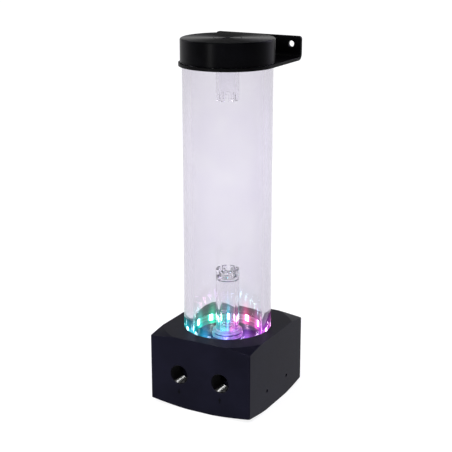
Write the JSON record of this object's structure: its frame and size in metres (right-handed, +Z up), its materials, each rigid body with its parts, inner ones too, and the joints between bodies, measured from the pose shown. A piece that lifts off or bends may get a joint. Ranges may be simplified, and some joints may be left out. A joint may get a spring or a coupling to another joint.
{
  "type": "coolant pump reservoir",
  "caption": "Square coolant pump base with two threaded ports, lit clear reservoir tube with standpipe, black cap with fill plug, and swivelling hanging bracket.",
  "frame": {"origin": "under the tube's axis, on the plane that the rubber feet stand on", "axes": "+Z up along the tube, -Y out of the two ports, +Y towards the bracket's tab, +X to the right when facing the ports"},
  "size_m": [0.076, 0.085, 0.2477],
  "materials": {
    "black_anodised": "bead blasted and black anodised, satin",
    "black_coated_sheet": "powder coated satin black",
    "clear_acrylic": "cast and polished clear tube",
    "black_rubber": "moulded nitrile",
    "black_acetal": "machined acetal",
    "stainless_steel": "turned screws",
    "lamination_steel": "stamped and stacked sheets",
    "copper_wire": "enamelled winding",
    "ferrite": "sintered magnet",
    "white_ceramic": "ground",
    "graphite": "carbon bearing",
    "circuit_board": "green solder resist",
    "board_chips": "moulded packages",
    "white_flex": "flexible light strip",
    "light_lens": "lit colour diode, lens over the chip"
  },
  "bodies": {
    "base": {"base_housing": "black_anodised", "bottom_cover": "black_anodised", "cover_screws": "stainless_steel", "rubber_feet": "black_rubber", "driver_board": "circuit_board", "board_parts": "board_chips", "pump_body": "black_acetal", "stator_core": "lamination_steel", "stator_coils": "copper_wire", "pump_o_rings": "black_rubber", "volute_seal": "black_rubber", "pump_top": "black_acetal", "eye_plate": "black_acetal", "pump_screws": "stainless_steel", "pump_shaft": "white_ceramic", "thrust_washer": "white_ceramic", "pump_cable_grommet": "black_rubber", "light_cable_grommet": "black_rubber", "light_strip": "white_flex", "light_diodes": "light_lens", "tube_gasket": "black_rubber", "tube_o_ring": "black_rubber", "reservoir_tube": "clear_acrylic", "standpipe_collar": "clear_acrylic", "standpipe_seal": "black_rubber", "standpipe": "clear_acrylic"},
    "rotor": {"impeller": "black_acetal", "rotor_magnet": "ferrite", "rotor_bush": "graphite"},
    "hanging_bracket": {"bracket": "black_coated_sheet", "bracket_grip_ring": "black_rubber"},
    "cap": {"cap_cover": "black_anodised", "cap_o_rings": "black_rubber", "dip_tube": "clear_acrylic"},
    "plug_seal": {"fill_plug_seal": "black_rubber"},
    "plug": {"fill_plug": "black_anodised"}
  },
  "joints": [
    {"name": "impeller_spin", "type": "hinge", "parent": "base", "child": "rotor", "pos_m": [0, 0, 0.02], "axis": [0, 0, 1], "continuous": true},
    {"name": "bracket_swivel", "type": "hinge", "parent": "base", "child": "hanging_bracket", "pos_m": [0, 0, 0.231], "axis": [0, 0, 1], "continuous": true},
    {"name": "cap_lift", "type": "slide", "parent": "base", "child": "cap", "axis": [0, 0, 1], "range_m": [0, 0.045]},
    {"name": "fill_plug_lift", "type": "slide", "parent": "cap", "child": "plug_seal", "axis": [0, 0, 1], "range_m": [0, 0.0081]},
    {"name": "fill_plug_turn", "type": "hinge", "parent": "plug_seal", "child": "plug", "pos_m": [0, 0, 0.2465], "axis": [0, 0, 1], "range_deg": [0, 2160]}
  ],
  "couplings": [
    {"joint": "fill_plug_lift", "follows": "fill_plug_turn", "m_per_rad": 0.00021279}
  ]
}
